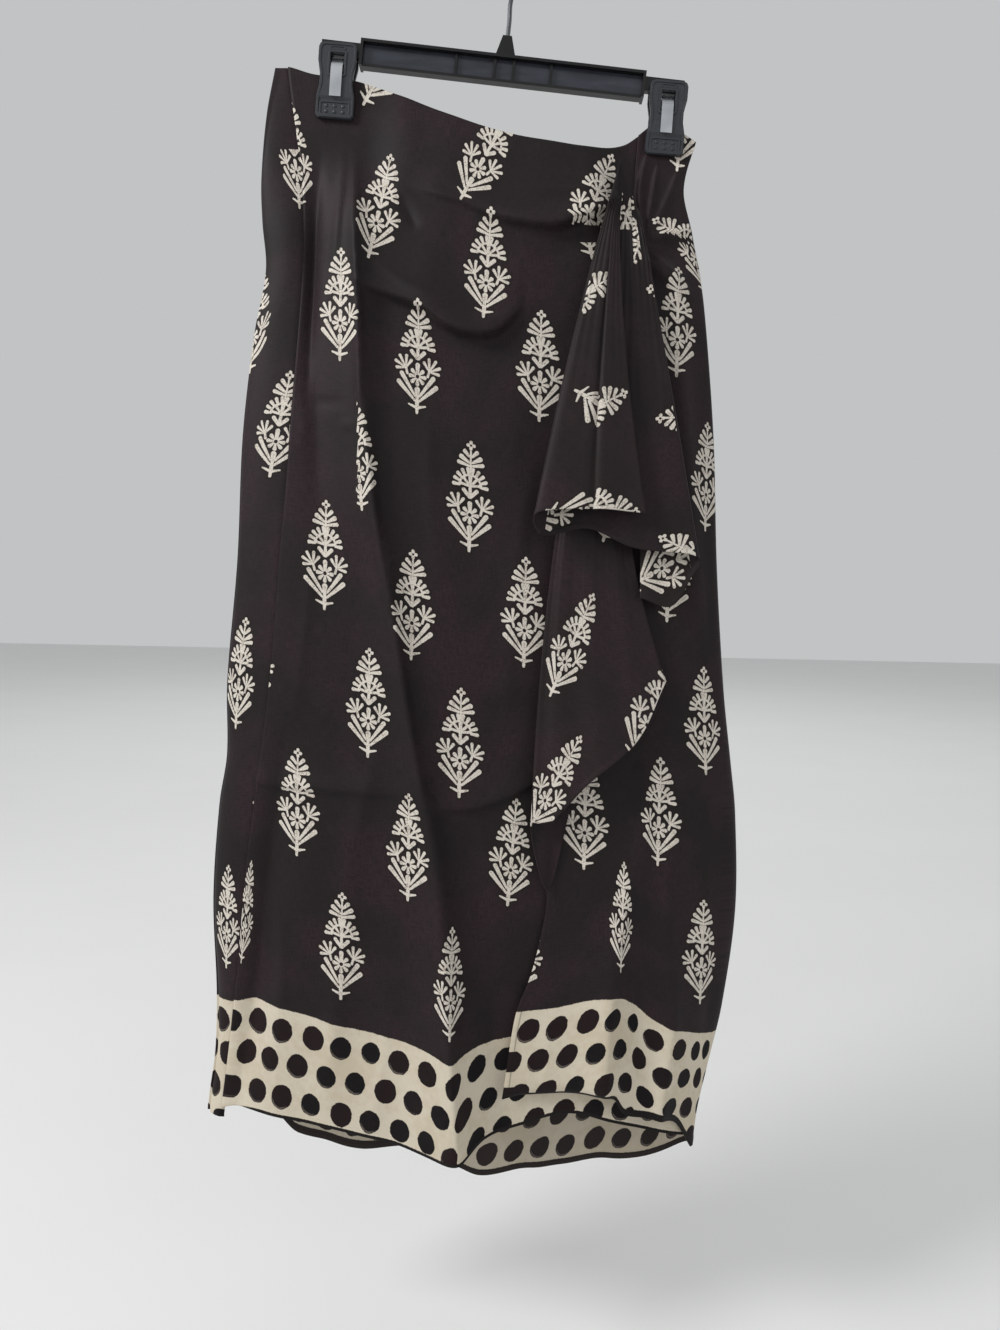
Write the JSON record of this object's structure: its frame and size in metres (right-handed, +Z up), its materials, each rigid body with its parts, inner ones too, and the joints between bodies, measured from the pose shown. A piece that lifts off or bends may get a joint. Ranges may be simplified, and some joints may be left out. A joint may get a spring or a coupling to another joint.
{
  "type": "faux wrap skirt on clip hanger",
  "caption": "Midi wrap-front skirt of thin printed cloth with a waterfall flap and dotted border, hung by its waist from a clip hanger.",
  "frame": {"origin": "inside of the crown of the hanger's hook, where it rests on a rail", "axes": "+Z up, the front of the skirt faces -Y, +X is to the right of someone who looks at the front"},
  "size_m": [0.4393, 0.1018, 1.0395],
  "materials": {
    "cloth": "soft matt printed rayon, dark aubergine with an ivory motif and border",
    "hanger_plastic": "black, moulded, satin gloss",
    "hook_wire": "bright plated wire",
    "spring_steel": "bright spring strip"
  },
  "bodies": {
    "root": {"front_panel": "cloth", "back_panel": "cloth", "back_wrap": "cloth", "overlap_panel": "cloth", "cascade_upper": "cloth", "cascade_lower": "cloth", "hanger_bar": "hanger_plastic", "hanger_hook": "hook_wire", "clip_left_front_jaw": "hanger_plastic", "clip_left_back_jaw": "hanger_plastic", "clip_left_spring": "spring_steel", "clip_right_front_jaw": "hanger_plastic", "clip_right_back_jaw": "hanger_plastic", "clip_right_spring": "spring_steel"}
  },
  "joints": []
}
